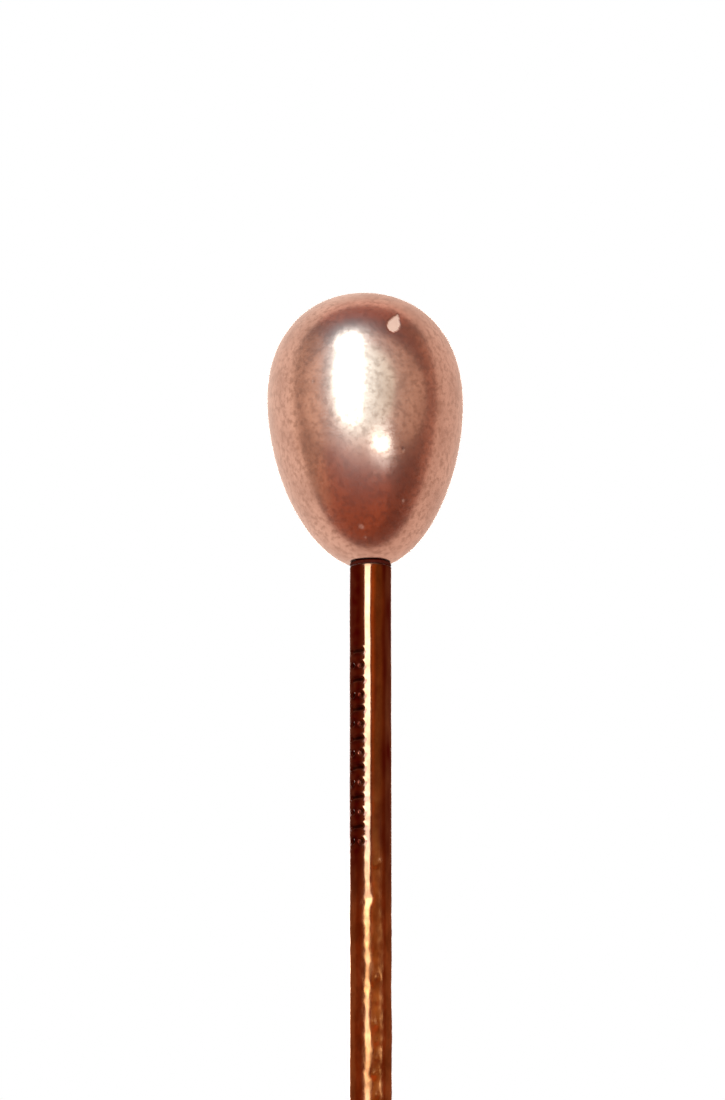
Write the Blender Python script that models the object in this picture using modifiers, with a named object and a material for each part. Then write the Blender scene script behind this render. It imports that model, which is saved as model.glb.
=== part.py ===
"""Hat pin: an egg-shaped imitation pearl cemented on a sharpened gold wire shank,
with a friction guard that pulls off the point.

The frame: +Z runs up the shank towards the pearl. The origin is on the axis,
where the full-width shank ends against the head.
"""

import math

import bmesh
import bpy
from mathutils import Matrix, Vector

MM = 0.001

# Driving dimensions
OVERALL_LENGTH = 76.0 * MM      # top of the pearl to the tip of the point
SHANK_RADIUS = 0.635 * MM
FIT_GAP = 0.02 * MM             # between two pieces that touch in the real pin
MERGE_DISTANCE = 0.0001 * MM

# The pearl is a surface of revolution: z = half length * cos(t) and
# r = radius * sin(t) * (1 + taper * cos(t) + fullness * cos(t) ** 2).
EGG_RADIUS = 2.96 * MM
EGG_HALF_LENGTH = 4.30 * MM
EGG_TAPER = 0.19
EGG_FULLNESS = 0.087
EGG_MOUTH_DEPTH = 4.15 * MM     # from the egg's centre down to its flat mouth
COAT_THICKNESS = 0.09 * MM

# The joint between the head and the shank
CEMENT_RING_RADIUS = 0.70 * MM
CEMENT_RING_HEIGHT = 0.13 * MM
HEAD_BORE_RADIUS = 0.47 * MM
HEAD_BORE_DEPTH = 4.95 * MM
PEG_RADIUS = 0.38 * MM
PEG_LENGTH = 4.60 * MM
PEG_NOTCH_DEPTH = 0.07 * MM
PEG_NOTCH_COUNT = 4
EDGE_CHAMFER = 0.03 * MM
PEG_CHAMFER = 0.06 * MM

# The row of plain punched marks on the shank
MARK_COUNT = 14
MARK_PITCH = 0.45 * MM
MARK_START = 2.70 * MM          # below the origin
MARK_DEPTH = 0.05 * MM
MARK_WIDTH = 0.14 * MM
MARK_AZIMUTH = math.radians(-42.0)   # from the front (-Y) towards -X
DOT_RADIUS = 0.09 * MM
DOT_SPREAD = math.radians(15.0)
DOT_SIDES = 8
MARK_CUTTER_HEIGHT = 0.5 * MM

# The sharpened end
POINT_LENGTH = 4.5 * MM
POINT_TIP_RADIUS = 0.04 * MM

# The guard
GUARD_LENGTH = 10.0 * MM
GUARD_RADIUS = 1.90 * MM
GUARD_WALL = 0.32 * MM
GUARD_END_FLAT_RADIUS = 0.90 * MM
GUARD_END_THICKNESS = 0.55 * MM
GUARD_TIP_CLEARANCE = 0.45 * MM
GUARD_NOSE_HEIGHT = 1.60 * MM
NOSE_INNER_RISE = 1.40 * MM
MOUTH_CHAMFER = 0.12 * MM
GUARD_LIP_HEIGHT = 0.30 * MM
GUARD_LIP_OPENING = 1.10 * MM
NECK_DEPTH = 0.14 * MM
NECK_HEIGHT = 0.50 * MM
COLLAR_HEIGHT = 0.80 * MM
KNURL_HEIGHT = 3.40 * MM
KNURL_RISE = 0.10 * MM
KNURL_COUNT = 24
KNURL_CUT = 0.11 * MM
GRIP_LENGTH = 3.00 * MM
GRIP_CLEARANCE = 0.03 * MM
BUSH_THICKNESS = 0.55 * MM
BUSH_CLEARANCE = 0.06 * MM
BUSH_LEAD_IN = 0.22 * MM

# Segments around the axis, and steps along curved profiles
SHANK_SEGMENTS = 32
HEAD_SEGMENTS = 40
GUARD_SEGMENTS = 48
PEARL_STEPS = 24
BORE_STEPS = 16
POINT_STEPS = 10
NOSE_STEPS = 6

# The search for the angle at which the egg is as wide as its bore
SEARCH_START = math.radians(110.0)
SEARCH_STEPS = 50

# Places that follow from the sizes above
MOUTH_Z = CEMENT_RING_HEIGHT + FIT_GAP
EGG_CENTRE_Z = MOUTH_Z + EGG_MOUTH_DEPTH
TIP_Z = EGG_CENTRE_Z + EGG_HALF_LENGTH - OVERALL_LENGTH
GUARD_INNER_END_Z = TIP_Z - GUARD_TIP_CLEARANCE
GUARD_END_Z = GUARD_INNER_END_Z - GUARD_END_THICKNESS
GUARD_MOUTH_Z = GUARD_END_Z + GUARD_LENGTH
BUSH_TOP_Z = GUARD_MOUTH_Z - GUARD_LIP_HEIGHT - FIT_GAP
GRIP_TOP_Z = BUSH_TOP_Z - BUSH_THICKNESS - FIT_GAP


def clear_scene():
    for existing in list(bpy.data.objects):
        bpy.data.objects.remove(existing, do_unlink=True)


def new_collection(name):
    collection = bpy.data.collections.new(name)
    bpy.context.scene.collection.children.link(collection)
    return collection


def new_material(name, color, roughness, metallic):
    material = bpy.data.materials.new(name)
    material.use_nodes = True
    shader = material.node_tree.nodes["Principled BSDF"]
    shader.inputs["Base Color"].default_value = (*color, 1.0)
    shader.inputs["Roughness"].default_value = roughness
    shader.inputs["Metallic"].default_value = metallic
    material.diffuse_color = (*color, 1.0)
    return material


def turned(name, profile, segments, material, collection, closed_loop=False):
    """A solid turned about +Z from (radius, height) points down its outer side."""
    mesh = bpy.data.meshes.new(name)
    points = [(radius, 0.0, height) for radius, height in profile]
    edges = [(index, index + 1) for index in range(len(points) - 1)]
    if closed_loop:
        edges.append((len(points) - 1, 0))
    mesh.from_pydata(points, edges, [])
    turned_object = bpy.data.objects.new(name, mesh)
    turned_object.data.materials.append(material)
    collection.objects.link(turned_object)
    screw = turned_object.modifiers.new("Turn", "SCREW")
    screw.axis = "Z"
    screw.angle = math.tau
    screw.steps = segments
    screw.render_steps = segments
    screw.use_merge_vertices = True
    screw.merge_threshold = MERGE_DISTANCE
    screw.use_smooth_shade = True
    return turned_object


def cut_with(target, cutter):
    boolean = target.modifiers.new("Cut", "BOOLEAN")
    boolean.operation = "DIFFERENCE"
    boolean.solver = "EXACT"
    boolean.object = cutter


def new_cutter(name, shape, collection):
    mesh = bpy.data.meshes.new(name)
    shape.to_mesh(mesh)
    shape.free()
    cutter = bpy.data.objects.new(name, mesh)
    cutter.hide_render = True
    cutter.display_type = "WIRE"
    collection.objects.link(cutter)
    return cutter


def egg_point(angle, inset):
    """The egg's (radius, height) at this angle from its top, moved in by the inset."""
    cosine = math.cos(angle)
    shape = 1.0 + EGG_TAPER * cosine + EGG_FULLNESS * cosine ** 2
    radius = (EGG_RADIUS - inset) * math.sin(angle) * shape
    height = EGG_CENTRE_Z + (EGG_HALF_LENGTH - inset) * cosine
    return radius, height


def egg_profile(inset, end_angle, steps):
    """Points from the egg's top pole down to the end angle."""
    points = [egg_point(end_angle * step / steps, inset) for step in range(steps + 1)]
    points[0] = (0.0, points[0][1])
    return points


def angle_of_radius(radius, inset):
    """The angle on the egg's lower half where it is this wide, by bisection."""
    wide, narrow = SEARCH_START, math.pi
    for _ in range(SEARCH_STEPS):
        middle = (wide + narrow) / 2
        if egg_point(middle, inset)[0] > radius:
            wide = middle
        else:
            narrow = middle
    return wide


def peg_profile(offset):
    """The notched peg's side, top to bottom, moved out by the offset."""
    radius = PEG_RADIUS + offset
    pitch = PEG_LENGTH / (PEG_NOTCH_COUNT + 1)
    points = []
    for notch in range(PEG_NOTCH_COUNT):
        centre = PEG_LENGTH - pitch * (notch + 1)
        points.append((radius, centre + PEG_NOTCH_DEPTH))
        points.append((radius - PEG_NOTCH_DEPTH, centre))
        points.append((radius, centre - PEG_NOTCH_DEPTH))
    return points


def make_bead_core(material, collection):
    inset = COAT_THICKNESS + FIT_GAP
    bore_end = MOUTH_Z + HEAD_BORE_DEPTH
    profile = egg_profile(inset, angle_of_radius(HEAD_BORE_RADIUS, inset), BORE_STEPS)
    profile += [
        (HEAD_BORE_RADIUS, bore_end),
        (0.0, bore_end + HEAD_BORE_RADIUS / 2),
    ]
    return turned("bead_core", profile, HEAD_SEGMENTS, material, collection)


def make_pearl_coat(material, collection):
    mouth_angle = math.acos(-EGG_MOUTH_DEPTH / EGG_HALF_LENGTH)
    inner_angle = angle_of_radius(HEAD_BORE_RADIUS, COAT_THICKNESS)
    inner = egg_profile(COAT_THICKNESS, inner_angle, BORE_STEPS)
    profile = egg_profile(0.0, mouth_angle, PEARL_STEPS)
    profile.append((HEAD_BORE_RADIUS, MOUTH_Z))
    profile += reversed(inner)
    return turned("pearl_coat", profile, HEAD_SEGMENTS, material, collection)


def make_head_cement(material, collection):
    """The cement fills the head's bore around the peg and stands out as a thin ring."""
    outer_radius = HEAD_BORE_RADIUS - FIT_GAP
    bore_end = MOUTH_Z + HEAD_BORE_DEPTH
    profile = [
        (0.0, bore_end + HEAD_BORE_RADIUS / 2 - 2 * FIT_GAP),
        (outer_radius, bore_end - 2 * FIT_GAP),
        (outer_radius, CEMENT_RING_HEIGHT),
        (CEMENT_RING_RADIUS, CEMENT_RING_HEIGHT),
        (CEMENT_RING_RADIUS + FIT_GAP, CEMENT_RING_HEIGHT / 2),
        (CEMENT_RING_RADIUS, FIT_GAP),
        (PEG_RADIUS + FIT_GAP, FIT_GAP),
    ]
    profile += reversed(peg_profile(FIT_GAP))
    profile += [
        (PEG_RADIUS + FIT_GAP, PEG_LENGTH + FIT_GAP),
        (0.0, PEG_LENGTH + FIT_GAP),
    ]
    return turned("head_cement", profile, SHANK_SEGMENTS, material, collection)


def point_profile(steps):
    """The sharpened end: a slim ogive from the full width to the rounded tip."""
    points = []
    for step in range(steps):
        along = step / steps
        radius = POINT_TIP_RADIUS + (SHANK_RADIUS - POINT_TIP_RADIUS) * (1.0 - along ** 1.5)
        points.append((radius, TIP_Z + POINT_LENGTH * (1.0 - along)))
    points.append((POINT_TIP_RADIUS, TIP_Z + POINT_TIP_RADIUS))
    points.append((0.0, TIP_Z))
    return points


def make_mark_cutter(collection):
    """Bars and pairs of dots in turn, each sunk to the same depth in the shank."""
    shape = bmesh.new()
    floor_radius = SHANK_RADIUS - MARK_DEPTH
    for index in range(MARK_COUNT):
        level = Matrix.Translation((0.0, 0.0, -MARK_START - index * MARK_PITCH))
        outward = Matrix.Translation((0.0, -floor_radius - MARK_CUTTER_HEIGHT / 2, 0.0))
        if index % 2 == 0:
            size = Matrix.Diagonal((SHANK_RADIUS, MARK_CUTTER_HEIGHT, MARK_WIDTH, 1.0))
            turn = Matrix.Rotation(MARK_AZIMUTH, 4, "Z")
            bmesh.ops.create_cube(shape, size=1.0, matrix=level @ turn @ outward @ size)
            continue
        for side in (-1, 1):
            turn = Matrix.Rotation(MARK_AZIMUTH + side * DOT_SPREAD, 4, "Z")
            upright = Matrix.Rotation(math.pi / 2, 4, "X")
            bmesh.ops.create_cone(
                shape, cap_ends=True, segments=DOT_SIDES, radius1=DOT_RADIUS, radius2=DOT_RADIUS,
                depth=MARK_CUTTER_HEIGHT, matrix=level @ turn @ outward @ upright)
    return new_cutter("mark_cutter", shape, collection)


def make_shank(material, collection, cutters):
    profile = [
        (0.0, PEG_LENGTH),
        (PEG_RADIUS - PEG_CHAMFER, PEG_LENGTH),
        (PEG_RADIUS, PEG_LENGTH - PEG_CHAMFER),
    ]
    profile += peg_profile(0.0)
    profile += [
        (PEG_RADIUS, 0.0),
        (SHANK_RADIUS - EDGE_CHAMFER, 0.0),
        (SHANK_RADIUS, -EDGE_CHAMFER),
    ]
    profile += point_profile(POINT_STEPS)
    shank = turned("shank", profile, SHANK_SEGMENTS, material, collection)
    cut_with(shank, make_mark_cutter(cutters))
    return shank


def make_knurl_cutter(collection):
    """Straight grooves around the grip band, each the corner of a long square bar."""
    shape = bmesh.new()
    edge = KNURL_CUT * math.sqrt(2.0)
    band_centre = GUARD_MOUTH_Z - COLLAR_HEIGHT - NECK_HEIGHT - KNURL_HEIGHT / 2
    size = Matrix.Diagonal((edge, edge, KNURL_HEIGHT * 1.2, 1.0))
    corner_out = Matrix.Rotation(math.pi / 4, 4, "Z")
    place = Matrix.Translation((GUARD_RADIUS + KNURL_RISE, 0.0, band_centre))
    for index in range(KNURL_COUNT):
        turn = Matrix.Rotation(math.tau * (index + 0.5) / KNURL_COUNT, 4, "Z")
        bmesh.ops.create_cube(shape, size=1.0, matrix=turn @ place @ corner_out @ size)
    return new_cutter("knurl_cutter", shape, collection)


def guard_nose(steps):
    """The rounded closed end: a quarter ellipse from the side to the end flat."""
    width = GUARD_RADIUS - GUARD_END_FLAT_RADIUS
    points = []
    for step in range(steps + 1):
        angle = math.pi / 2 * step / steps
        radius = GUARD_END_FLAT_RADIUS + width * math.cos(angle)
        points.append((radius, GUARD_END_Z + GUARD_NOSE_HEIGHT * (1.0 - math.sin(angle))))
    return points


def make_guard_shell(material, collection, cutters):
    neck_top = GUARD_MOUTH_Z - COLLAR_HEIGHT
    neck_end = neck_top - NECK_HEIGHT
    band_end = neck_end - KNURL_HEIGHT
    lip_under = GUARD_MOUTH_Z - GUARD_LIP_HEIGHT
    inner_radius = GUARD_RADIUS - GUARD_WALL
    profile = [
        (0.0, GUARD_INNER_END_Z),
        (inner_radius - NOSE_INNER_RISE / 2, GUARD_INNER_END_Z),
        (inner_radius, GUARD_INNER_END_Z + NOSE_INNER_RISE),
        (inner_radius, lip_under),
        (GUARD_LIP_OPENING, lip_under),
        (GUARD_LIP_OPENING, GUARD_MOUTH_Z),
        (GUARD_RADIUS - MOUTH_CHAMFER, GUARD_MOUTH_Z),
        (GUARD_RADIUS, GUARD_MOUTH_Z - MOUTH_CHAMFER),
        (GUARD_RADIUS, neck_top),
        (GUARD_RADIUS - NECK_DEPTH, neck_top - NECK_DEPTH),
        (GUARD_RADIUS - NECK_DEPTH, neck_end + NECK_DEPTH),
        (GUARD_RADIUS + KNURL_RISE, neck_end - KNURL_RISE),
        (GUARD_RADIUS + KNURL_RISE, band_end + KNURL_RISE),
        (GUARD_RADIUS, band_end),
    ]
    profile += guard_nose(NOSE_STEPS)
    profile.append((0.0, GUARD_END_Z))
    shell = turned("guard_shell", profile, GUARD_SEGMENTS, material, collection)
    cut_with(shell, make_knurl_cutter(cutters))
    return shell


def make_guard_grip(material, collection):
    """The nylon sleeve that holds the shank by friction."""
    outer = GUARD_RADIUS - GUARD_WALL - FIT_GAP
    inner = SHANK_RADIUS + GRIP_CLEARANCE
    bottom = GRIP_TOP_Z - GRIP_LENGTH
    profile = [
        (inner + BUSH_LEAD_IN, GRIP_TOP_Z),
        (outer, GRIP_TOP_Z),
        (outer, bottom),
        (inner, bottom),
        (inner, GRIP_TOP_Z - BUSH_LEAD_IN),
    ]
    return turned("guard_grip", profile, SHANK_SEGMENTS, material, collection, closed_loop=True)


def make_guard_bush(material, collection):
    """The washer under the rolled lip, dished to lead the point into the grip."""
    outer = GUARD_RADIUS - GUARD_WALL - FIT_GAP
    inner = SHANK_RADIUS + BUSH_CLEARANCE
    bottom = BUSH_TOP_Z - BUSH_THICKNESS
    profile = [
        (inner + BUSH_LEAD_IN, BUSH_TOP_Z),
        (outer, BUSH_TOP_Z),
        (outer, bottom),
        (inner, bottom),
        (inner, BUSH_TOP_Z - BUSH_LEAD_IN),
    ]
    return turned("guard_bush", profile, SHANK_SEGMENTS, material, collection, closed_loop=True)


def put_on_slide(pieces, collection):
    """The guard's pieces hang from an empty on the shank's axis, at the guard's mouth."""
    slide = bpy.data.objects.new("guard_slide", None)
    slide.location = Vector((0.0, 0.0, GUARD_MOUTH_Z))
    slide.empty_display_size = GUARD_RADIUS
    collection.objects.link(slide)
    for piece in pieces:
        piece.parent = slide
        piece.matrix_parent_inverse = Matrix.Translation(-slide.location)


def main():
    clear_scene()
    parts = new_collection("hat_pin")
    cutters = new_collection("cutters")
    glass = new_material("bead_glass", (0.84, 0.62, 0.50), 0.35, 0.0)
    pearl = new_material("bronze_pearl", (0.52, 0.29, 0.22), 0.25, 0.0)
    cement = new_material("dark_cement", (0.06, 0.02, 0.015), 0.5, 0.0)
    gold = new_material("rose_gold", (0.78, 0.45, 0.25), 0.18, 1.0)
    brass = new_material("gilt_brass", (0.80, 0.52, 0.28), 0.25, 1.0)
    nylon = new_material("nylon", (0.85, 0.83, 0.78), 0.5, 0.0)
    make_bead_core(glass, parts)
    make_pearl_coat(pearl, parts)
    make_head_cement(cement, parts)
    make_shank(gold, parts, cutters)
    guard_pieces = [
        make_guard_shell(brass, parts, cutters),
        make_guard_grip(nylon, parts),
        make_guard_bush(brass, parts),
    ]
    put_on_slide(guard_pieces, parts)


main()
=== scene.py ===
"""The looks of the hat pin: fine meshes, procedural materials and studio light
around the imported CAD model. Lengths are in metres, in the CAD frame.
"""

import math

import bpy
import numpy as np
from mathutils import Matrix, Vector, noise


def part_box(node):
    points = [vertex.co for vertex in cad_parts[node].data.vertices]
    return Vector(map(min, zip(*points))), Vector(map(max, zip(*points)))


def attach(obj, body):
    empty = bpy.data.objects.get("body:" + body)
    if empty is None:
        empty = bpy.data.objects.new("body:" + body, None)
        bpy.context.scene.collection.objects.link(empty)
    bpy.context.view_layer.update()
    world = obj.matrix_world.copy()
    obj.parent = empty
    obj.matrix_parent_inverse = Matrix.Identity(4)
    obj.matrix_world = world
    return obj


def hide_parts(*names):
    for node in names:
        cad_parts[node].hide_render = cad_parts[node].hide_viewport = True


MM = 0.001

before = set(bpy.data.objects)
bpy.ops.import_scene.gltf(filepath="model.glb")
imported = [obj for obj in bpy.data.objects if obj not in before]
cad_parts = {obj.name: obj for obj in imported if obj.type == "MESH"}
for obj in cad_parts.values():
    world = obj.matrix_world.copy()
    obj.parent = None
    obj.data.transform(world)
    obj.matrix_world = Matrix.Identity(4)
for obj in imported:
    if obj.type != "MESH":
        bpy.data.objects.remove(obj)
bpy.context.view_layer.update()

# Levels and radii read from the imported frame
SHANK_LOW, SHANK_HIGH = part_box("shank")
COAT_LOW, COAT_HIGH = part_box("pearl_coat")
SHELL_LOW, SHELL_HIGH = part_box("guard_shell")
GRIP_LOW, GRIP_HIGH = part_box("guard_grip")
BUSH_LOW, BUSH_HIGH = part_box("guard_bush")

TIP_Z = SHANK_LOW.z
PEG_TOP_Z = SHANK_HIGH.z
SHANK_RADIUS = SHANK_HIGH.x
MOUTH_Z = COAT_LOW.z
GUARD_END_Z = SHELL_LOW.z
GUARD_MOUTH_Z = SHELL_HIGH.z

# The egg, as the CAD has it
EGG_RADIUS = 2.96 * MM
EGG_HALF_LENGTH = 4.30 * MM
EGG_TAPER = 0.19
EGG_FULLNESS = 0.087
EGG_CENTRE_Z = COAT_HIGH.z - EGG_HALF_LENGTH
COAT_THICKNESS = 0.09 * MM
FIT_GAP = 0.02 * MM
EGG_STEPS = 260
PEARL_SEGMENTS = 420
BEAD_STEPS = 60
BEAD_SEGMENTS = 96
MOUTH_ROUNDING = 0.02 * MM

# How far the pearl stands to the left of the shank at its mouth, and how much more at its top
LEAN_AT_MOUTH = 0.07 * MM
LEAN_RISE = 0.12 * MM

# The joint between the head and the shank
BORE_RADIUS = 0.47 * MM
BORE_DEPTH = 4.95 * MM
PEG_RADIUS = 0.38 * MM
PEG_NOTCH = 0.07 * MM
PEG_NOTCH_COUNT = 4
CEMENT_RIM_RADIUS = SHANK_RADIUS + 0.005 * MM
CEMENT_ROUNDING = 0.03 * MM
CEMENT_SEGMENTS = 128

# The punched marks, as the CAD has them; azimuths are degrees from the front towards +X
MARK_COUNT = 14
MARK_PITCH = 0.45 * MM
MARK_START = 2.70 * MM
MARK_DEPTH = 0.05 * MM
MARK_HALF_WIDTH = 0.07 * MM
MARK_HALF_LENGTH = 0.19 * MM
MARK_AZIMUTH = -42.0
DOT_RADIUS = 0.09 * MM
DOT_SPREAD = 15.0
MARKED_LENGTH = 6.5 * MM
MARKS_MARGIN = 0.3 * MM

# Unevenness of the pearl, the shank and the cement, in mm: the shank's wave and fine ripple
# grow by the worn amounts towards its scuffed lower part
SWELL = 0.014
RIPPLE = 0.0018
CHIP_JAG = 0.022
WAVE, WORN_WAVE = 0.006, 0.012
FINE, WORN_FINE = 0.0008, 0.0045
MARK_JAG = 0.018
BURR = 0.013
CEMENT_LUMPS = 0.025

# The shank's wear, and the painted shade on its sides beside the bright line: the heights
# where they begin, are full and end, and the azimuth of the painted shade's middle at the left
WEAR_TOP = -8.0 * MM
WEAR_FULL = -12.0 * MM
WORN_COLOR_FULL = -11.5 * MM
SIDE_SHADE_FULL = -8.5 * MM
SIDE_SHADE_END = -11.5 * MM
SIDE_SHADE_AZIMUTH = -58.0

# Small dents in the shank: azimuth, height, radius and depth, the last three in mm
DENTS = (
    (-8.0, -10.3, 0.22, 0.020), (-22.0, -10.4, 0.15, 0.012), (18.0, -12.7, 0.14, 0.026),
    (12.0, -14.1, 0.16, 0.024), (17.0, -14.6, 0.12, 0.022), (9.0, -15.6, 0.20, 0.020),
    (19.0, -16.2, 0.13, 0.024), (14.0, -17.1, 0.16, 0.024), (14.0, -9.3, 0.11, 0.014),
    (16.0, -13.4, 0.13, 0.022), (17.0, -15.1, 0.12, 0.020), (12.0, -16.7, 0.12, 0.018),
    (-44.0, -13.6, 0.14, 0.010), (-33.0, -13.9, 0.12, 0.010), (-52.0, -12.7, 0.16, 0.010),
    (24.0, -9.2, 0.12, 0.008), (150.0, -11.0, 0.20, 0.012), (110.0, -14.5, 0.18, 0.012),
    (-130.0, -8.0, 0.16, 0.010),
)
DENT_FALLOFF = 2.5

# The sharpened end
POINT_LENGTH = 4.5 * MM
POINT_TIP_RADIUS = 0.04 * MM
POINT_BULGE = 1.5
POINT_STEPS = 60
WIRE_SEGMENTS = 144

# How far down the shank each spacing of its rings goes, the spacing in mm
RING_SPACINGS = (
    (MARKS_MARGIN - MARK_START, 0.08),
    (MARKS_MARGIN - MARK_START - MARKED_LENGTH, 0.028),
    (-20.0 * MM, 0.07),
    (TIP_Z + POINT_LENGTH, 0.25),
)

# The chip in the coating, from its low end to its tip: azimuth and height in mm
CHIP_LOW = (17.0, 6.76)
CHIP_HIGH = (25.2, 7.42)
CHIP_HALF_WIDTH = 0.19 * MM
CHIP_DEPTH = 0.035 * MM
CHIP_EDGE = 0.012 * MM

# Specks on the pearl: azimuth, height and radius, the last two in mm
PALE_SPECKS = ((30.7, 1.66, 0.08), (-7.0, 0.90, 0.12), (-3.0, 0.62, 0.06))
DARK_SPECKS = ((-5.0, 5.96, 0.05), (24.0, 3.1, 0.035), (-31.0, 5.2, 0.03))
PALE_SPECK_DEPTH = 0.005 * MM
DARK_SPECK_DEPTH = 0.02 * MM
PALE_SPECK_SHARE = 0.3

# The guard
GUARD_WALL = 0.32 * MM
GUARD_END_THICKNESS = 0.55 * MM
END_FLAT_RADIUS = 0.90 * MM
NOSE_HEIGHT = 1.60 * MM
NOSE_INNER_RISE = 1.40 * MM
LIP_HEIGHT = 0.30 * MM
LIP_OPENING = 1.10 * MM
NECK_DEPTH = 0.14 * MM
NECK_HEIGHT = 0.50 * MM
COLLAR_HEIGHT = 0.80 * MM
KNURL_HEIGHT = 3.40 * MM
KNURL_RISE = 0.10 * MM
KNURL_COUNT = 24
KNURL_CUT = 0.11 * MM
GUARD_RADIUS = SHELL_HIGH.x - KNURL_RISE
LEAD_IN = 0.22 * MM
GRIP_CLEARANCE = 0.03 * MM
BUSH_CLEARANCE = 0.06 * MM
GUARD_ROUNDING = 0.09 * MM
NOSE_STEPS = 18
GUARD_SEGMENTS = 384
SLEEVE_ROUNDING = 0.05 * MM
SLEEVE_SEGMENTS = 96

# The camera
VIEW_HEIGHT = 33.67 * MM
CAMERA_DISTANCE = 150.0 * MM
CAMERA_ELEVATION = -13.0
CAMERA_AIM = Vector((-0.245 * MM, 0.0, 0.55 * MM))
CAMERA_REACH = (0.001, 100.0)
SENSOR = 36.0

# What the object sees around it (linear colors). Each wall has a direction and the cosines
# from it at which it begins and is full.
ROOM_FRONT = (0.22, 0.042, 0.010)
WALLS = (
    ("behind", 180.0, 13.0, -0.05, 0.10, (0.26, 0.09, 0.045)),
    ("right wall", 44.0, 8.0, 0.88, 0.96, (0.24, 0.06, 0.012)),
)

# The pale panel close behind the head: its halves' side, radiance and color
PANEL_WIDTH = 2.0
PANEL_HEIGHT = 0.36
PANEL_RISE = 0.045
PANEL_DISTANCE = 0.03
PANEL_ELEVATION = -5.0
PANEL_SIDES = ((-1, 0.70, (1.0, 0.92, 0.82)), (1, 0.57, (1.0, 0.87, 0.76)))

# Lights: name, azimuth, elevation, half width, half height, radiance, color, outline
LIGHT_DISTANCE = 0.5
COOL_DAY = (0.61, 0.91, 1.0)
STUDIO_WHITE = (1.0, 0.97, 0.92)
WARM_WHITE = (1.0, 0.95, 0.9)
DEEP_ORANGE = (1.0, 0.20, 0.006)
HEAD_LIGHTS = (
    ("head_window", -19.2, 16.5, 15.3, 21.7, 4.3, COOL_DAY, "RECTANGLE"),
    ("head_window_top", -21.5, 42.5, 14.5, 12.5, 3.6, COOL_DAY, "ELLIPSE"),
    ("window_veil", -18.0, 27.0, 18.0, 38.0, 0.30, COOL_DAY, "ELLIPSE"),
    ("wide_veil", -14.0, 26.0, 27.0, 36.0, 0.24, COOL_DAY, "ELLIPSE"),
    ("head_lamp", 18.5, -15.0, 13.0, 2.0, 12.0, COOL_DAY, "ELLIPSE"),
    ("lamp_halo", 19.0, -17.0, 21.0, 7.0, 0.42, COOL_DAY, "ELLIPSE"),
    ("top_glow", 180.0, 84.0, 34.0, 20.0, 0.11, (1.0, 0.10, 0.01), "ELLIPSE"),
    ("bloom", -3.0, 13.0, 37.0, 28.0, 0.62, (0.50, 1.0, 1.0), "ELLIPSE"),
    ("wide_bloom", 0.0, 16.0, 74.0, 38.0, 0.34, (1.0, 0.85, 0.68), "ELLIPSE"),
    ("left_glow", -75.0, 6.0, 22.0, 42.0, 0.20, (1.0, 0.78, 0.52), "ELLIPSE"),
    ("right_edge", 86.0, 8.0, 9.0, 45.0, 0.13, (1.0, 0.45, 0.25), "ELLIPSE"),
    ("low_glow", -24.0, -46.0, 50.0, 34.0, 0.125, (1.0, 0.22, 0.04), "ELLIPSE"),
    ("head_back", 180.0, 13.0, 9.0, 9.0, 5.0, WARM_WHITE, "RECTANGLE"),
)
METAL_LIGHTS = (
    ("window", -17.5, 23.5, 15.0, 15.0, 4.2, STUDIO_WHITE, "RECTANGLE"),
    ("window_low", -17.5, -0.5, 11.0, 8.5, 2.3, (0.80, 0.84, 1.0), "RECTANGLE"),
    ("room_glow", 12.0, 23.0, 12.0, 14.0, 0.16, DEEP_ORANGE, "ELLIPSE"),
    ("wide_room_glow", 14.0, 23.0, 22.0, 14.0, 0.11, DEEP_ORANGE, "ELLIPSE"),
    ("right_wall_low", 30.0, 2.0, 22.0, 6.5, 0.17, (1.0, 0.65, 0.28), "RECTANGLE"),
    ("front_strip", 12.0, -21.0, 10.0, 9.0, 4.0, STUDIO_WHITE, "RECTANGLE"),
    ("side_strip", 55.0, -14.0, 9.0, 15.0, 2.0, STUDIO_WHITE, "RECTANGLE"),
    ("back_strip", -165.0, -12.0, 12.0, 20.0, 4.0, STUDIO_WHITE, "RECTANGLE"),
    ("back_softbox", 180.0, 13.0, 9.0, 9.0, 5.0, WARM_WHITE, "RECTANGLE"),
)
GUARD_LIGHTS = (
    ("guard_left", -50.0, 5.0, 28.0, 35.0, 0.9, STUDIO_WHITE, "RECTANGLE"),
    ("guard_right", 85.0, 0.0, 22.0, 35.0, 0.9, STUDIO_WHITE, "RECTANGLE"),
    ("guard_back", -140.0, 5.0, 22.0, 35.0, 0.9, STUDIO_WHITE, "RECTANGLE"),
    ("guard_top", 0.0, 88.0, 35.0, 35.0, 1.2, STUDIO_WHITE, "RECTANGLE"),
)
FLOOR_SUN = 2.4
FLOOR_SUN_COLOR = (0.86, 1.0, 1.04)
FLOOR_SUN_ANGLE = 50.0
FLOOR_COLOR = (0.82, 0.80, 0.78, 1.0)
FLOOR_HALF_SPAN = 3.0
FLOOR_DROP = 22.0 * MM

# Colors (linear) of the materials, the darker one first in each pair
PEARL_PAIR = ((0.52, 0.28, 0.205), (0.71, 0.43, 0.335))
PEARL_GRAIN = (0.40, 0.19, 0.12)
PEARL_CHIP = (0.74, 0.45, 0.36)
PEARL_SPECK = (0.12, 0.04, 0.03)
BEAD_PAIR = ((0.80, 0.52, 0.42), (0.90, 0.66, 0.54))
CEMENT_PAIR = ((0.070, 0.006, 0.002), (0.120, 0.014, 0.005))
FRESH_GOLD_PAIR = ((0.38, 0.23, 0.145), (0.54, 0.355, 0.24))
AGED_GOLD_PAIR = ((0.46, 0.22, 0.085), (0.80, 0.44, 0.20))
# painted shade: the dark red given to the shank's sides beside its bright line
GOLD_PAINTED_SHADE = (0.21, 0.010, 0.004)
GOLD_GRIME = (0.030, 0.004, 0.001)
BRASS_PAIR = ((0.74, 0.42, 0.19), (0.83, 0.52, 0.26))
BRASS_GRIME = (0.16, 0.06, 0.025)
NYLON_PAIR = ((0.80, 0.77, 0.70), (0.88, 0.86, 0.80))


# ---------------------------------------------------------------- mesh helpers


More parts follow.
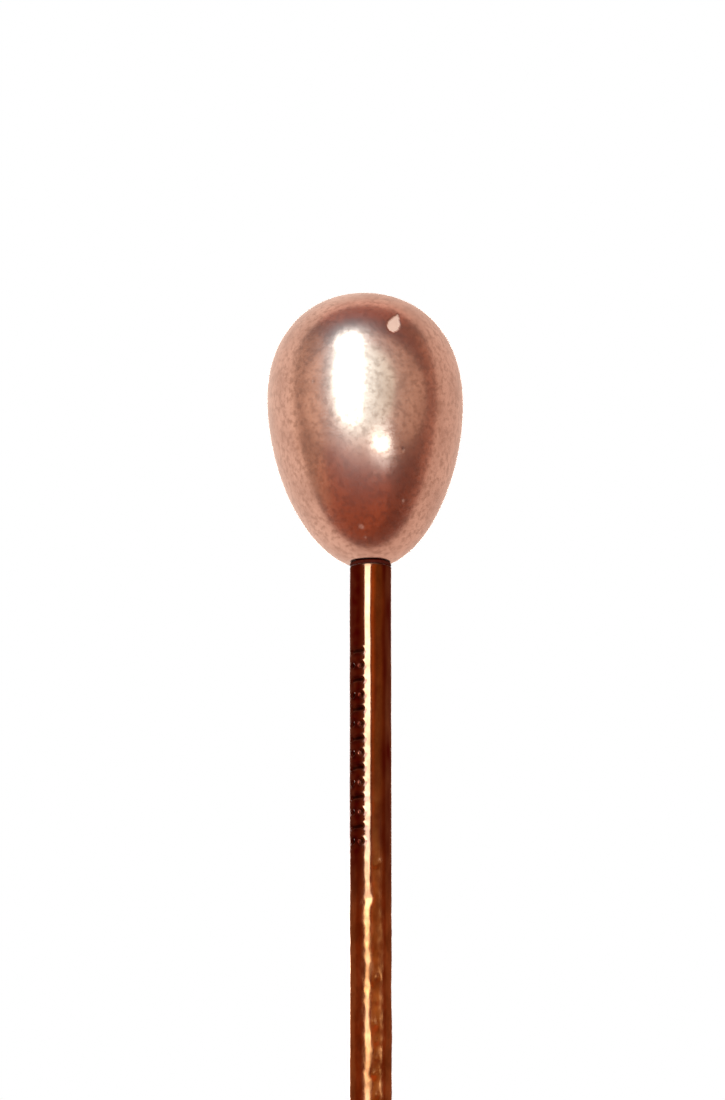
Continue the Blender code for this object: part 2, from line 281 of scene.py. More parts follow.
def fillet(previous, corner, following, radius, steps):
    """An arc that rounds the corner between two straight stretches.

    It takes up at most about half of either stretch.
    """
    corner = Vector(corner)
    to_previous = Vector(previous) - corner
    to_following = Vector(following) - corner
    half = to_previous.angle(to_following) / 2
    most = 0.49
    reach = min(radius / math.tan(half), to_previous.length * most, to_following.length * most)
    start = corner + to_previous.normalized() * reach
    end = corner + to_following.normalized() * reach
    points = []
    for step in range(steps + 1):
        share = step / steps
        curve = start * (1 - share) ** 2 + corner * 2 * share * (1 - share) + end * share ** 2
        points.append((curve.x, curve.y))
    return points


def rounded(points, radius, steps=4, closed=False):
    """The outline with every corner rounded, apart from its free ends."""
    count = len(points)
    result = [] if closed else [points[0]]
    for index in range(count) if closed else range(1, count - 1):
        following = points[(index + 1) % count]
        result += fillet(points[index - 1], points[index], following, radius, steps)
    if not closed:
        result.append(points[-1])
    return result


def dense(points, spacing):
    """The outline with points added so that no step is longer than the spacing."""
    result = [points[0]]
    for start, end in zip(points, points[1:]):
        pieces = max(1, math.ceil(math.dist(start, end) / spacing))
        for piece in range(1, pieces + 1):
            share = piece / pieces
            result.append(tuple(a + (b - a) * share for a, b in zip(start, end)))
    return result


def cartesian(radius, angle, height):
    """Points from their radius, azimuth and height arrays."""
    return np.stack([radius * np.sin(angle), -radius * np.cos(angle), height], 1)


def lathe(name, outline, segments, closed=False, shape=None):
    """A mesh turned about +Z from (radius, height) points that run down its outer side.

    shape, if given, takes the vertices' radius, azimuth and height arrays and returns the
    moved radius and a dictionary of values to paint on the vertices. Azimuth 0 is the
    front, -Y, and it grows towards +X.
    """
    tiny = 1e-9
    rows = []
    vertices = []
    count = 0
    azimuth = np.arange(segments) * math.tau / segments
    for radius, height in outline:
        if radius < tiny:
            vertices.append(np.array([[0.0, 0.0, height]]))
            rows.append(np.full(segments, count))
            count += 1
        else:
            ring = [np.full(segments, radius), azimuth, np.full(segments, height)]
            vertices.append(np.stack(ring, 1))
            rows.append(np.arange(segments) + count)
            count += segments
    polar = np.concatenate(vertices)
    radius, angle, height = polar[:, 0], polar[:, 1], polar[:, 2]
    painted = {}
    if shape:
        radius, painted = shape(radius, angle, height)
    points = cartesian(radius, angle, height)
    faces = []
    pairs = list(zip(rows, rows[1:]))
    if closed:
        pairs.append((rows[-1], rows[0]))
    for upper, lower in pairs:
        for column in range(segments):
            right = (column + 1) % segments
            corners = [upper[column], lower[column], lower[right], upper[right]]
            faces.append(list(dict.fromkeys(int(corner) for corner in corners)))
    mesh = bpy.data.meshes.new(name)
    mesh.from_pydata(points.tolist(), [], faces)
    mesh.update()
    mesh.shade_smooth()
    for label, values in painted.items():
        mesh.attributes.new(label, "FLOAT", "POINT").data.foreach_set("value", values)
    piece = bpy.data.objects.new(name, mesh)
    bpy.context.scene.collection.objects.link(piece)
    return piece


def noise_field(radius, angle, height, scale, seed):
    """Smooth noise from -1 to 1 at each vertex, with features of about this scale."""
    offset = Vector((seed * 7.31, seed * 3.17, seed * 5.93))
    points = cartesian(radius, angle, height).tolist()
    return np.array([noise.noise(Vector(point) / scale + offset) for point in points])


def finish_piece(piece, body, material, slot, *nodes):
    """Gives the piece its material and its body, and hides the CAD nodes it stands for; the slot
    is not used.
    """
    piece.data.materials.clear()
    piece.data.materials.append(material)
    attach(piece, body)
    if nodes:
        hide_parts(*nodes)
    return piece


# ------------------------------------------------------------ material helpers


def add_node(tree, kind, **settings):
    node = tree.nodes.new(kind)
    for key, value in settings.items():
        setattr(node, key, value)
    return node


class Shader:
    """A Principled material and a short way to add nodes to it."""

    def __init__(self, name):
        self.material = bpy.data.materials.new(name)
        self.material.use_nodes = True
        self.tree = self.material.node_tree
        self.principled = self.tree.nodes["Principled BSDF"]
        self.place = self.add("ShaderNodeTexCoord").outputs["Object"]

    def add(self, kind, **settings):
        return add_node(self.tree, kind, **settings)

    def link(self, source, target):
        self.tree.links.new(source, target)

    def set(self, **values):
        for key, value in values.items():
            self.principled.inputs[key.replace("_", " ")].default_value = value

    def feed(self, socket, source):
        self.link(source, self.principled.inputs[socket])

    def stretched(self, x, y, z):
        mapping = self.add("ShaderNodeMapping")
        mapping.inputs["Scale"].default_value = (x, y, z)
        self.link(self.place, mapping.inputs["Vector"])
        return mapping.outputs["Vector"]

    def noise(self, size, detail=3.0, roughness=0.5, place=None):
        node = self.add("ShaderNodeTexNoise")
        node.inputs["Scale"].default_value = 1.0 / size
        node.inputs["Detail"].default_value = detail
        node.inputs["Roughness"].default_value = roughness
        self.link(place or self.place, node.inputs["Vector"])
        return node.outputs["Fac"]

    def ramp(self, value, *stops):
        """A color from the value, by stops of a position and a color each."""
        node = self.add("ShaderNodeValToRGB")
        elements = node.color_ramp.elements
        while len(elements) < len(stops):
            elements.new(0.5)
        for element, (position, color) in zip(elements, stops):
            element.position = position
            element.color = (*color, 1.0)
        self.link(value, node.inputs["Fac"])
        return node.outputs["Color"]

    def mix(self, share, first, second):
        node = self.add("ShaderNodeMix", data_type="RGBA")
        for index, value in ((0, share), (6, first), (7, second)):
            socket = node.inputs[index]
            if isinstance(value, (tuple, float)):
                socket.default_value = (*value, 1.0) if isinstance(value, tuple) else value
            else:
                self.link(value, socket)
        return node.outputs[2]

    def math(self, operation, first, second=0.0, clamp=False):
        node = self.add("ShaderNodeMath", operation=operation, use_clamp=clamp)
        for socket, value in ((node.inputs[0], first), (node.inputs[1], second)):
            if isinstance(value, float):
                socket.default_value = value
            else:
                self.link(value, socket)
        return node.outputs[0]

    def remap(self, value, from_low, from_high, to_low, to_high):
        node = self.add("ShaderNodeMapRange", interpolation_type="SMOOTHSTEP")
        for socket, number in zip(node.inputs[1:5], (from_low, from_high, to_low, to_high)):
            socket.default_value = number
        self.link(value, node.inputs["Value"])
        return node.outputs[0]

    def height(self):
        node = self.add("ShaderNodeSeparateXYZ")
        self.link(self.place, node.inputs[0])
        return node.outputs["Z"]

    def painted(self, name):
        return self.add("ShaderNodeAttribute", attribute_name=name).outputs["Fac"]

    def bump(self, value, depth, strength=1.0):
        node = self.add("ShaderNodeBump")
        node.inputs["Strength"].default_value = strength
        node.inputs["Distance"].default_value = depth
        self.link(value, node.inputs["Height"])
        self.feed("Normal", node.outputs["Normal"])


# ------------------------------------------------------------------- materials


def pearl_material():
    shader = Shader("bronze_pearl")
    mottle = shader.noise(0.8 * MM, 4.0, 0.6)
    even = shader.ramp(mottle, (0.34, PEARL_PAIR[0]), (0.60, PEARL_PAIR[1]))
    grain = shader.noise(0.16 * MM, 2.0, 0.55)
    speckled = shader.remap(grain, 0.42, 0.68, 0.0, 0.9)
    base = shader.mix(speckled, even, PEARL_GRAIN)
    chip = shader.painted("chip")
    dark = shader.mix(shader.painted("dark"), base, PEARL_SPECK)
    shader.feed("Base Color", shader.mix(chip, dark, PEARL_CHIP))
    coated = shader.math("SUBTRACT", 1.0, chip, clamp=True)
    shader.feed("Metallic", coated)
    shader.feed("Coat Weight", coated)
    shader.feed("Roughness", shader.remap(mottle, 0.3, 0.7, 0.18, 0.23))
    shader.bump(grain, 0.0025 * MM, 0.10)
    shader.set(Coat_Roughness=0.42, Coat_IOR=2.45)
    return shader.material


def bead_material():
    shader = Shader("bead_glass")
    grain = shader.noise(0.10 * MM)
    shader.feed("Base Color", shader.ramp(grain, (0.3, BEAD_PAIR[0]), (0.7, BEAD_PAIR[1])))
    shader.bump(grain, 0.005 * MM, 0.5)
    shader.set(Roughness=0.4)
    return shader.material


def cement_material():
    shader = Shader("dark_cement")
    grain = shader.noise(0.08 * MM)
    shader.feed("Base Color", shader.ramp(grain, (0.3, CEMENT_PAIR[0]), (0.7, CEMENT_PAIR[1])))
    shader.feed("Roughness", shader.remap(grain, 0.3, 0.7, 0.5, 0.7))
    shader.bump(grain, 0.008 * MM, 0.6)
    shader.set(Specular_IOR_Level=0.15)
    return shader.material


def gold_material():
    shader = Shader("rose_gold")
    patches = shader.noise(0.5 * MM, 4.0, 0.6, shader.stretched(1.0, 1.0, 0.6))
    fresh = shader.ramp(patches, (0.36, FRESH_GOLD_PAIR[0]), (0.64, FRESH_GOLD_PAIR[1]))
    aged = shader.ramp(patches, (0.36, AGED_GOLD_PAIR[0]), (0.64, AGED_GOLD_PAIR[1]))
    worn = shader.remap(shader.height(), WEAR_TOP, WORN_COLOR_FULL, 0.0, 1.0)
    grime = shader.painted("grime")
    # painted shade: the shank's sides beside its bright line are mixed towards dark red
    painted_shade = shader.painted("painted_shade")
    gold = shader.mix(painted_shade, shader.mix(worn, fresh, aged), GOLD_PAINTED_SHADE)
    shader.feed("Base Color", shader.mix(grime, gold, GOLD_GRIME))
    drawn = shader.noise(0.05 * MM, 2.0, 0.5, shader.stretched(1.0, 1.0, 0.03))
    scratches = shader.noise(0.14 * MM, 3.0, 0.6, shader.stretched(1.0, 1.0, 0.35))
    scuffs = shader.math("ADD", shader.remap(scratches, 0.35, 0.65, 0.0, 1.0), 0.4)
    scuffed = shader.math("MULTIPLY", scuffs, shader.math("MULTIPLY", worn, 0.10))
    rough = shader.math("ADD", scuffed, 0.12)
    dulled = shader.math("ADD", rough, shader.math("MULTIPLY", painted_shade, 0.06))
    shader.feed("Roughness", shader.math("ADD", dulled, shader.math("MULTIPLY", grime, 0.30)))
    shader.bump(drawn, 0.0006 * MM, 0.5)
    shader.set(Metallic=1.0)
    return shader.material


def brass_material():
    shader = Shader("gilt_brass")
    patches = shader.noise(1.5 * MM, 3.0)
    color = shader.ramp(patches, (0.35, BRASS_PAIR[0]), (0.65, BRASS_PAIR[1]))
    grime = shader.painted("grime")
    shader.feed("Base Color", shader.mix(grime, color, BRASS_GRIME))
    rings = shader.noise(0.06 * MM, 2.0, 0.5, shader.stretched(0.04, 0.04, 1.0))
    base = shader.remap(rings, 0.3, 0.7, 0.16, 0.28)
    shader.feed("Roughness", shader.math("ADD", base, shader.math("MULTIPLY", grime, 0.3)))
    shader.bump(rings, 0.001 * MM, 0.5)
    shader.set(Metallic=1.0)
    return shader.material


def nylon_material():
    shader = Shader("nylon")
    grain = shader.noise(0.2 * MM)
    shader.feed("Base Color", shader.ramp(grain, (0.3, NYLON_PAIR[0]), (0.7, NYLON_PAIR[1])))
    shader.feed("Roughness", shader.remap(grain, 0.3, 0.7, 0.42, 0.55))
    shader.set(Subsurface_Weight=0.15)
    shader.bump(grain, 0.003 * MM, 0.4)
    return shader.material


# ------------------------------------------------------------------ the pieces


def egg_outline(inset, end_angle, steps):
    """The egg's side, from its top to this angle, moved in by the inset."""
    points = []
    for step in range(steps + 1):
        cosine = math.cos(end_angle * step / steps)
        sine = math.sin(end_angle * step / steps)
        shape = 1.0 + EGG_TAPER * cosine + EGG_FULLNESS * cosine ** 2
        height = EGG_CENTRE_Z + (EGG_HALF_LENGTH - inset) * cosine
        points.append(((EGG_RADIUS - inset) * sine * shape, height))
    return points


def egg_angle_at(height, inset):
    return math.acos((height - EGG_CENTRE_Z) / (EGG_HALF_LENGTH - inset))


def egg_angle_of_radius(radius, inset):
    """The angle on the egg's lower half where it is this wide, by bisection."""
    wide, narrow = math.radians(110.0), math.pi
    for _ in range(50):
        middle = (wide + narrow) / 2
        if egg_outline(inset, middle, 1)[1][0] > radius:
            wide = middle
        else:
            narrow = middle
    return wide


def smooth(edge, inside, values):
    """0 at the edge value and beyond, 1 at the inside value and beyond."""
    share = np.clip((values - edge) / (inside - edge), 0.0, 1.0)
    return share * share * (3.0 - 2.0 * share)


def turned_from(angle, azimuth):
    """How many degrees each angle is turned from the azimuth, from -180 to 180."""
    return (np.degrees(angle) - azimuth + 180.0) % 360.0 - 180.0


def lean(piece):
    """The pearl sits a little to the left of the shank, and more so towards its top."""
    mesh = piece.data
    points = np.zeros(len(mesh.vertices) * 3)
    mesh.vertices.foreach_get("co", points)
    points = points.reshape(-1, 3)
    rise = np.clip((points[:, 2] - MOUTH_Z) / (2 * EGG_HALF_LENGTH), 0.0, 1.0)
    points[:, 0] -= LEAN_AT_MOUTH + LEAN_RISE * np.sin(rise * math.pi / 2)
    mesh.vertices.foreach_set("co", points.ravel())
    mesh.update()


def on_egg(azimuth_degrees, height_mm):
    """The point of the pearl's surface at this azimuth and height."""
    height = height_mm * MM
    radius = egg_outline(0.0, egg_angle_at(height, 0.0), 1)[1][0]
    azimuth = math.radians(azimuth_degrees)
    return np.array([radius * math.sin(azimuth), -radius * math.cos(azimuth), height])


def chip_field(points):
    """How far inside the drop-shaped chip each point is, in metres; negative outside."""
    low, high = on_egg(*CHIP_LOW), on_egg(*CHIP_HIGH)
    length = np.linalg.norm(high - low)
    along = (high - low) / length
    outward = (low + high) / 2 * np.array([1.0, 1.0, 0.0]) + np.array([0.0, 0.0, 1.0 * MM])
    across = np.cross(along, outward)
    across /= np.linalg.norm(across)
    share = np.clip((points - low) @ along / length, 0.0, 1.0)
    half_width = CHIP_HALF_WIDTH * np.sin(math.pi * share ** 0.6)
    nearest = low + np.outer(share * length, along)
    beyond = (points - low) @ along - share * length
    return half_width - np.hypot((points - nearest) @ across, beyond) - 0.6 * np.abs(beyond)


def speck_field(points, specks):
    """1 in the middle of each speck, 0 outside."""
    deep = np.zeros(len(points))
    for azimuth, height, size in specks:
        distance = np.linalg.norm(points - on_egg(azimuth, height), axis=1)
        deep = np.maximum(deep, smooth(size * MM, size * 0.4 * MM, distance))
    return deep


def make_pearl_coat(material):
    mouth_angle = egg_angle_at(MOUTH_Z, 0.0)
    inner = egg_outline(COAT_THICKNESS, egg_angle_of_radius(BORE_RADIUS, COAT_THICKNESS), 40)
    outline = egg_outline(0.0, mouth_angle, EGG_STEPS)
    mouth = rounded([outline[-1], (BORE_RADIUS, MOUTH_Z), inner[-1]], MOUTH_ROUNDING)
    outline += mouth[1:-1] + inner[::-1]
    outer_count = (EGG_STEPS + 2) * PEARL_SEGMENTS

    def shape(radius, angle, height):
        points = cartesian(radius, angle, height)
        swell = noise_field(radius, angle, height, 2.0 * MM, 3)
        ripple = noise_field(radius, angle, height, 0.5 * MM, 5)
        jag = noise_field(radius, angle, height, 0.12 * MM, 9)
        moved = radius + (SWELL * swell + RIPPLE * ripple) * MM * (radius / EGG_RADIUS)
        outside = np.arange(len(radius)) < outer_count
        chip = smooth(-CHIP_EDGE, CHIP_EDGE, chip_field(points) + jag * CHIP_JAG * MM) * outside
        pale = speck_field(points, PALE_SPECKS) * outside
        dark = speck_field(points, DARK_SPECKS) * outside
        moved = moved - chip * CHIP_DEPTH - pale * PALE_SPECK_DEPTH - dark * DARK_SPECK_DEPTH
        return moved, {"chip": np.maximum(chip, pale * PALE_SPECK_SHARE), "dark": dark}

    coat = lathe("pearl_skin", outline, PEARL_SEGMENTS, shape=shape)
    lean(coat)
    return finish_piece(coat, "pin", material, "bronze_pearl", "pearl_coat")


def make_bead(material):
    inset = COAT_THICKNESS + FIT_GAP
    bore_end = MOUTH_Z + BORE_DEPTH
    outline = egg_outline(inset, egg_angle_of_radius(BORE_RADIUS, inset), BEAD_STEPS)
    outline += [(BORE_RADIUS, bore_end), (0.0, bore_end + BORE_RADIUS / 2)]
    bead = lathe("pressed_bead", outline, BEAD_SEGMENTS)
    lean(bead)
    return finish_piece(bead, "pin", material, "bead_glass", "bead_core")


def peg_outline(offset):
    """The notched peg's side, top to bottom, moved out by the offset."""
    pitch = PEG_TOP_Z / (PEG_NOTCH_COUNT + 1)
    points = [(0.0, PEG_TOP_Z + offset), (PEG_RADIUS + offset, PEG_TOP_Z + offset)]
    for notch in range(1, PEG_NOTCH_COUNT + 1):
        centre = PEG_TOP_Z - pitch * notch
        for rise, depth in ((PEG_NOTCH, 0.0), (0.0, PEG_NOTCH), (-PEG_NOTCH, 0.0)):
            points.append((PEG_RADIUS + offset - depth, centre + rise))
    return points


def make_cement(material):
    plug = BORE_RADIUS - FIT_GAP
    bore_end = MOUTH_Z + BORE_DEPTH - 2 * FIT_GAP
    ring_top = MOUTH_Z - FIT_GAP
    rim = CEMENT_RIM_RADIUS
    edge = rim - CEMENT_ROUNDING
    ring = [
        (plug, ring_top), (edge, ring_top), (rim, (ring_top + FIT_GAP) / 2),
        (edge, FIT_GAP), (PEG_RADIUS + FIT_GAP, FIT_GAP),
    ]
    outline = [(0.0, bore_end + BORE_RADIUS / 2), (plug, bore_end)]
    outline += dense(rounded(ring, CEMENT_ROUNDING, 5), 0.03 * MM)
    outline += peg_outline(FIT_GAP)[::-1]

    def shape(radius, angle, height):
        outside = smooth(plug + 0.1 * MM, plug + 0.2 * MM, radius)
        lumps = noise_field(radius, angle, height, 0.28 * MM, 11)
        return radius + outside * lumps * CEMENT_LUMPS * MM, {}

    cement = lathe("cement_bead", outline, CEMENT_SEGMENTS, shape=shape)
    return finish_piece(cement, "pin", material, "dark_cement", "head_cement")


def mark_field(angle, height):
    """The distance of each point of the shank's surface from the nearest mark's edge."""
    arc = SHANK_RADIUS * math.pi / 180.0
    across = (turned_from(angle, 0.0) - MARK_AZIMUTH) * arc
    nearest = np.full(len(angle), 1.0)
    for index in range(MARK_COUNT):
        rise = height + MARK_START + index * MARK_PITCH
        if index % 2 == 0:
            beyond = np.maximum(np.abs(across) - MARK_HALF_LENGTH, 0.0)
            nearest = np.minimum(nearest, np.hypot(beyond, rise) - MARK_HALF_WIDTH)
        else:
            for side in (-DOT_SPREAD, DOT_SPREAD):
                nearest = np.minimum(nearest, np.hypot(across - side * arc, rise) - DOT_RADIUS)
    return nearest


def shank_outline():
    outline = dense(rounded(peg_outline(0.0) + [(PEG_RADIUS, 0.0)], 0.01 * MM, 2), 0.3 * MM)
    below = (SHANK_RADIUS, -1.0 * MM)
    outline += fillet((PEG_RADIUS, 0.0), (SHANK_RADIUS, 0.0), below, 0.03 * MM, 4)
    for stop, spacing in RING_SPACINGS:
        outline += dense([outline[-1], (SHANK_RADIUS, stop)], spacing * MM)[1:]
    taper = SHANK_RADIUS - POINT_TIP_RADIUS
    length = POINT_LENGTH - POINT_TIP_RADIUS
    for step in range(1, POINT_STEPS + 1):
        along = step / POINT_STEPS
        radius = POINT_TIP_RADIUS + taper * (1.0 - along ** POINT_BULGE)
        outline.append((radius, TIP_Z + POINT_TIP_RADIUS + length * (1.0 - along)))
    return outline + [(POINT_TIP_RADIUS * 0.7, TIP_Z + POINT_TIP_RADIUS * 0.29), (0.0, TIP_Z)]


def painted_shade_field(radius, angle, height, dirt):
    """Painted shade: dark red left of the bright line, and at the right streaks of it that grow
    denser further out.
    """
    turn = turned_from(angle, 0.0)
    upper = smooth(SIDE_SHADE_END, SIDE_SHADE_FULL, height)
    left = smooth(42.0, 22.0, np.abs(turn - SIDE_SHADE_AZIMUTH)) * upper * (0.82 + 0.3 * dirt)
    streak = noise_field(radius, angle, height * 0.25, 0.22 * MM, 27)
    shade = np.clip(0.14 + 0.40 * smooth(26.0, 50.0, turn) + 0.8 * streak, 0.0, 1.0)
    right = shade * smooth(2.0, 14.0, turn) * smooth(150.0, 120.0, turn) * upper
    return np.maximum(left, right)


def make_shank(material):
    def shape(radius, angle, height):
        side = smooth(PEG_RADIUS, SHANK_RADIUS - 0.02 * MM, radius) * (height < 0.0)
        worn = smooth(WEAR_TOP, WEAR_FULL, height)
        wave = noise_field(radius, angle, height * 0.7, 0.60 * MM, 21)
        fine = noise_field(radius, angle, height * 0.8, 0.16 * MM, 22)
        rough = wave * (WAVE + WORN_WAVE * worn) + fine * (FINE + WORN_FINE * worn)
        moved = radius + side * rough * MM
        edge = mark_field(angle, height) + fine * MARK_JAG * MM
        deep = smooth(0.015 * MM, -0.045 * MM, edge) * side
        burr = np.exp(-((edge - 0.035 * MM) / (0.025 * MM)) ** 2) * side
        moved = moved - deep * MARK_DEPTH + burr * BURR * MM
        for azimuth, level, size, depth in DENTS:
            across = turned_from(angle, azimuth) * SHANK_RADIUS * math.pi / 180.0
            reach = np.hypot(across, height - level * MM) / (size * MM)
            moved -= depth * MM * np.exp(-DENT_FALLOFF * reach ** 2) * side
        dirt = noise_field(radius, angle, height, 0.2 * MM, 25)
        # the shank is made darker along its top 0.1 mm, just under the cement
        joint = smooth(-0.10 * MM, 0.0, height) * 0.4
        around = smooth(0.16 * MM, 0.02 * MM, edge) * (0.35 + 0.6 * dirt)
        around = around * smooth(-12.0, -22.0, turned_from(angle, 0.0)) * side
        grime = np.maximum.reduce([deep * (0.9 + 0.3 * dirt), around, joint])
        # painted shade: dark red on the sides beside the bright line, with streaks at the right
        painted_shade = np.clip(painted_shade_field(radius, angle, height, dirt) * side, 0.0, 1.0)
        return moved, {"grime": np.clip(grime, 0.0, 1.0), "painted_shade": painted_shade}

    wire = lathe("gold_wire", shank_outline(), WIRE_SEGMENTS, shape=shape)
    wire.visible_glossy = False
    return finish_piece(wire, "pin", material, "rose_gold", "shank")


def make_guard_shell(material):
    inner = GUARD_RADIUS - GUARD_WALL
    inner_end = GUARD_END_Z + GUARD_END_THICKNESS
    neck_top = GUARD_MOUTH_Z - COLLAR_HEIGHT
    neck_end = neck_top - NECK_HEIGHT
    band_end = neck_end - KNURL_HEIGHT
    lip_end = GUARD_MOUTH_Z - LIP_HEIGHT
    neck = GUARD_RADIUS - NECK_DEPTH
    band = GUARD_RADIUS + KNURL_RISE
    corners = [
        (0.0, inner_end), (inner - NOSE_INNER_RISE / 2, inner_end),
        (inner, inner_end + NOSE_INNER_RISE), (inner, lip_end), (LIP_OPENING, lip_end),
        (LIP_OPENING, GUARD_MOUTH_Z), (GUARD_RADIUS, GUARD_MOUTH_Z), (GUARD_RADIUS, neck_top),
        (neck, neck_top - NECK_DEPTH), (neck, neck_end + NECK_DEPTH),
        (band, neck_end), (band, band_end + KNURL_RISE),
        (GUARD_RADIUS, band_end), (GUARD_RADIUS, GUARD_END_Z + NOSE_HEIGHT),
    ]
    outline = dense(rounded(corners, GUARD_ROUNDING, 5), 0.10 * MM)
    nose = []
    for step in range(1, NOSE_STEPS + 1):
        angle = math.pi / 2 * step / NOSE_STEPS
        radius = END_FLAT_RADIUS + (GUARD_RADIUS - END_FLAT_RADIUS) * math.cos(angle)
        nose.append((radius, GUARD_END_Z + NOSE_HEIGHT * (1.0 - math.sin(angle))))
    outline += nose + [(END_FLAT_RADIUS / 2, GUARD_END_Z), (0.0, GUARD_END_Z)]
    band_centre = (neck_end + band_end) / 2

    def shape(radius, angle, height):
        pitch = math.tau / KNURL_COUNT
        from_groove = np.abs((angle + pitch / 2) % pitch - pitch / 2) * GUARD_RADIUS
        half = KNURL_HEIGHT / 2
        in_band = smooth(half - 0.02 * MM, half - 0.16 * MM, np.abs(height - band_centre))
        in_band *= radius > GUARD_RADIUS
        groove = np.clip(1.0 - from_groove / (KNURL_CUT * 1.1), 0.0, 1.0) * in_band
        in_neck = smooth(GUARD_RADIUS - 0.03 * MM, GUARD_RADIUS - 0.12 * MM, radius)
        in_neck *= (radius > inner + 0.05 * MM) * (height < neck_top) * (height > neck_end)
        dirt = noise_field(radius, angle, height, 0.5 * MM, 31)
        caught = np.maximum(smooth(0.3, 1.0, groove) * 0.8, in_neck * 0.35)
        grime = np.clip(caught + 0.25 * dirt - 0.08, 0.0, 1.0)
        ding = noise_field(radius, angle, height, 0.9 * MM, 33)
        return radius - groove * KNURL_CUT + ding * 0.003 * MM, {"grime": grime}

    shell = lathe("guard_body", outline, GUARD_SEGMENTS, shape=shape)
    return finish_piece(shell, "guard", material, "gilt_brass", "guard_shell")


def make_sleeve(name, low, high, clearance):
    """A ring around the shank, with a lead-in chamfer at the top of its bore."""
    inner = SHANK_RADIUS + clearance
    corners = [
        (inner + LEAD_IN, high.z), (high.x, high.z), (high.x, low.z), (inner, low.z),
        (inner, high.z - LEAD_IN),
    ]
    outline = rounded(corners, SLEEVE_ROUNDING, 4, closed=True)
    outline = dense(outline + outline[:1], 0.12 * MM)[:-1]
    return lathe(name, outline, SLEEVE_SEGMENTS, closed=True)


def build():
    """All the pieces, and the groups of them that the lights are kept to."""
    coat = make_pearl_coat(pearl_material())
    bead = make_bead(bead_material())
    cement = make_cement(cement_material())
    wire = make_shank(gold_material())
    brass = brass_material()
    shell = make_guard_shell(brass)
    grip = make_sleeve("grip_sleeve", GRIP_LOW, GRIP_HIGH, GRIP_CLEARANCE)
    finish_piece(grip, "guard", nylon_material(), "nylon", "guard_grip")
    bush = make_sleeve("bush_washer", BUSH_LOW, BUSH_HIGH, BUSH_CLEARANCE)
    finish_piece(bush, "guard", brass, "gilt_brass", "guard_bush")
    guard = (shell, grip, bush)
    return (
        group("head", coat, bead),
        group("metal", cement, wire, *guard),
        group("guard", *guard),
    )


# ------------------------------------------------------- studio, light, camera


def direction(azimuth_degrees, elevation_degrees):
    """A unit vector: azimuth 0 is the front, -Y, and it grows towards +X."""
    azimuth, elevation = math.radians(azimuth_degrees), math.radians(elevation_degrees)
    flat = math.cos(elevation)
    return Vector((math.sin(azimuth) * flat, -math.cos(azimuth) * flat, math.sin(elevation)))


def area_light(name, place, away, width, height, radiance, color, outline, lit):
    """A soft light that faces back from the direction away.

    It lights only the pieces of the collection.
    """
    light = bpy.data.lights.new(name, "AREA")
    light.shape = outline
    light.size = width
    light.size_y = height
    light.energy = radiance * math.pi * light.size * light.size_y
    light.color = color
    lamp = bpy.data.objects.new(name, light)
    lamp.location = place
    lamp.rotation_euler = away.to_track_quat("Z", "Y").to_euler()
    lamp.visible_camera = False
    lamp.light_linking.receiver_collection = lit
    bpy.context.scene.collection.objects.link(lamp)


def distant_light(name, azimuth, elevation, half_width, half_height, radiance, color, outline,
                  lit):
    """A soft light, given by where it stands and how wide it looks from the head, in degrees."""
    away = direction(azimuth, elevation)
    place = Vector((0.0, 0.0, EGG_CENTRE_Z)) + away * LIGHT_DISTANCE
    width = 2 * LIGHT_DISTANCE * math.tan(math.radians(half_width))
    height = 2 * LIGHT_DISTANCE * math.tan(math.radians(half_height))
    area_light(name, place, away, width, height, radiance, color, outline, lit)


def group(name, *pieces):
    """A collection of pieces that some lights are kept to."""
    collection = bpy.data.collections.new(name)
    for piece in pieces:
        collection.objects.link(piece)
    return collection


def make_world():
    """White to the camera; to the object, a warm dark room with lighter walls."""
    world = bpy.data.worlds.new("studio")
    bpy.context.scene.world = world
    world.use_nodes = True
    tree = world.node_tree
    tree.nodes.clear()
    place = add_node(tree, "ShaderNodeTexCoord").outputs["Generated"]
    color = None
    for label, azimuth, elevation, outside, inside, wall in WALLS:
        facing = add_node(tree, "ShaderNodeVectorMath", operation="DOT_PRODUCT", label=label)
        facing.inputs[1].default_value = tuple(direction(azimuth, elevation))
        tree.links.new(place, facing.inputs[0])
        share = add_node(tree, "ShaderNodeMapRange", interpolation_type="SMOOTHSTEP")
        for socket, number in zip(share.inputs[1:5], (outside, inside, 0.0, 1.0)):
            socket.default_value = number
        tree.links.new(facing.outputs["Value"], share.inputs["Value"])
        room = add_node(tree, "ShaderNodeMix", data_type="RGBA")
        room.inputs[6].default_value = (*ROOM_FRONT, 1.0)
        if color:
            tree.links.new(color, room.inputs[6])
        room.inputs[7].default_value = (*wall, 1.0)
        tree.links.new(share.outputs[0], room.inputs[0])
        color = room.outputs[2]
    seen = add_node(tree, "ShaderNodeBackground")
    seen.inputs["Color"].default_value = (1.0, 1.0, 1.0, 1.0)
    lit = add_node(tree, "ShaderNodeBackground")
    tree.links.new(color, lit.inputs["Color"])
    either = add_node(tree, "ShaderNodeMixShader")
    path = add_node(tree, "ShaderNodeLightPath")
    tree.links.new(path.outputs["Is Camera Ray"], either.inputs[0])
    tree.links.new(lit.outputs[0], either.inputs[1])
    tree.links.new(seen.outputs[0], either.inputs[2])
    tree.links.new(either.outputs[0], add_node(tree, "ShaderNodeOutputWorld").inputs["Surface"])


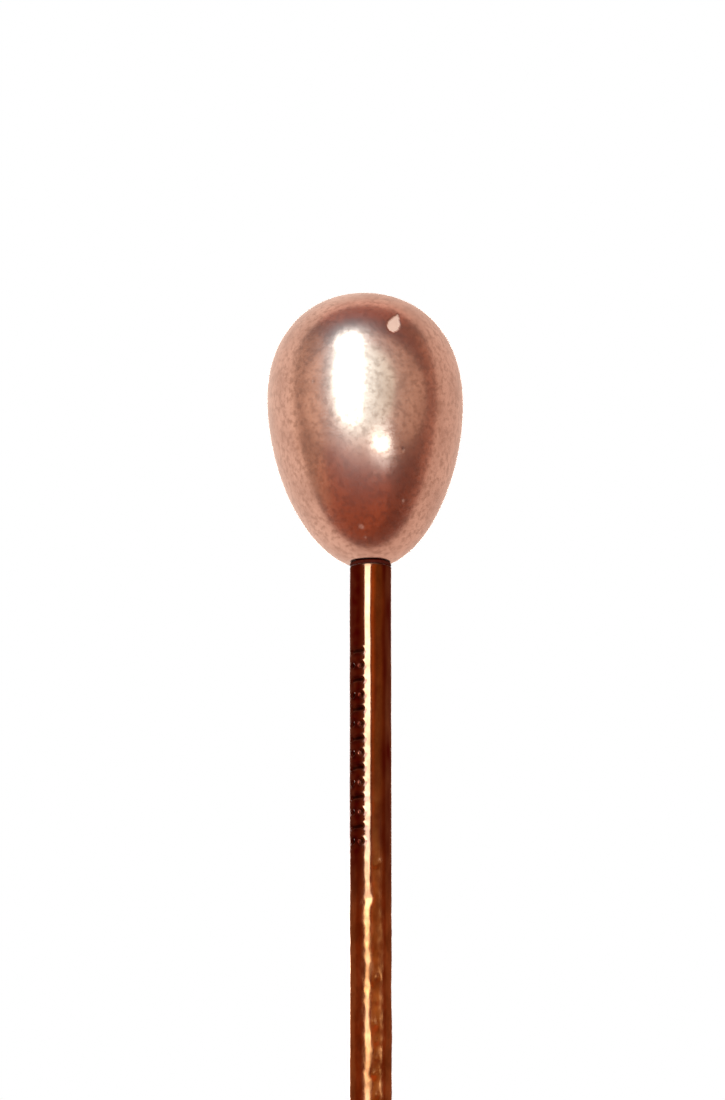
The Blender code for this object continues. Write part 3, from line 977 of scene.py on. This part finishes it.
def make_floor():
    mesh = bpy.data.meshes.new("floor")
    level = GUARD_END_Z - FLOOR_DROP
    corners = [
        (x * FLOOR_HALF_SPAN, y * FLOOR_HALF_SPAN, level)
        for x, y in ((-1, -1), (1, -1), (1, 1), (-1, 1))
    ]
    mesh.from_pydata(corners, [], [(0, 1, 2, 3)])
    floor = bpy.data.objects.new("floor", mesh)
    bpy.context.scene.collection.objects.link(floor)
    shader = Shader("pale_floor")
    shader.set(Base_Color=FLOOR_COLOR, Roughness=0.9)
    mesh.materials.append(shader.material)
    floor.visible_glossy = False
    return group("floor", floor)


def make_head_panel(lit):
    """A pale wall close behind the head, a little dimmer at its right."""
    away = direction(180.0, PANEL_ELEVATION)
    centre = Vector((0.0, 0.0, EGG_CENTRE_Z + PANEL_RISE)) + away * PANEL_DISTANCE
    for side, radiance, color in PANEL_SIDES:
        place = centre + Vector((side * PANEL_WIDTH / 4, 0.0, 0.0))
        area_light(f"head_panel_{side + 1}", place, away, PANEL_WIDTH / 2, PANEL_HEIGHT,
                   radiance, color, "RECTANGLE", lit)


def make_lights(head, metal, guard, floor):
    for lights, lit in ((HEAD_LIGHTS, head), (METAL_LIGHTS, metal), (GUARD_LIGHTS, guard)):
        for light in lights:
            distant_light(*light, lit)
    make_head_panel(head)
    sun = bpy.data.lights.new("floor_sun", "SUN")
    sun.energy = FLOOR_SUN
    sun.color = FLOOR_SUN_COLOR
    sun.angle = math.radians(FLOOR_SUN_ANGLE)
    lamp = bpy.data.objects.new("floor_sun", sun)
    lamp.light_linking.receiver_collection = floor
    bpy.context.scene.collection.objects.link(lamp)


def make_camera():
    camera = bpy.data.cameras.new("camera")
    camera.sensor_width = SENSOR
    camera.lens = SENSOR / 2 / (VIEW_HEIGHT / 2 / CAMERA_DISTANCE)
    camera.clip_start, camera.clip_end = CAMERA_REACH
    view = bpy.data.objects.new("camera", camera)
    toward = direction(0.0, CAMERA_ELEVATION)
    view.location = CAMERA_AIM + toward * CAMERA_DISTANCE
    view.rotation_euler = toward.to_track_quat("Z", "Y").to_euler()
    bpy.context.scene.collection.objects.link(view)
    bpy.context.scene.camera = view


bpy.context.scene.view_settings.view_transform = "Standard"
make_camera()
make_world()
make_lights(*build(), make_floor())
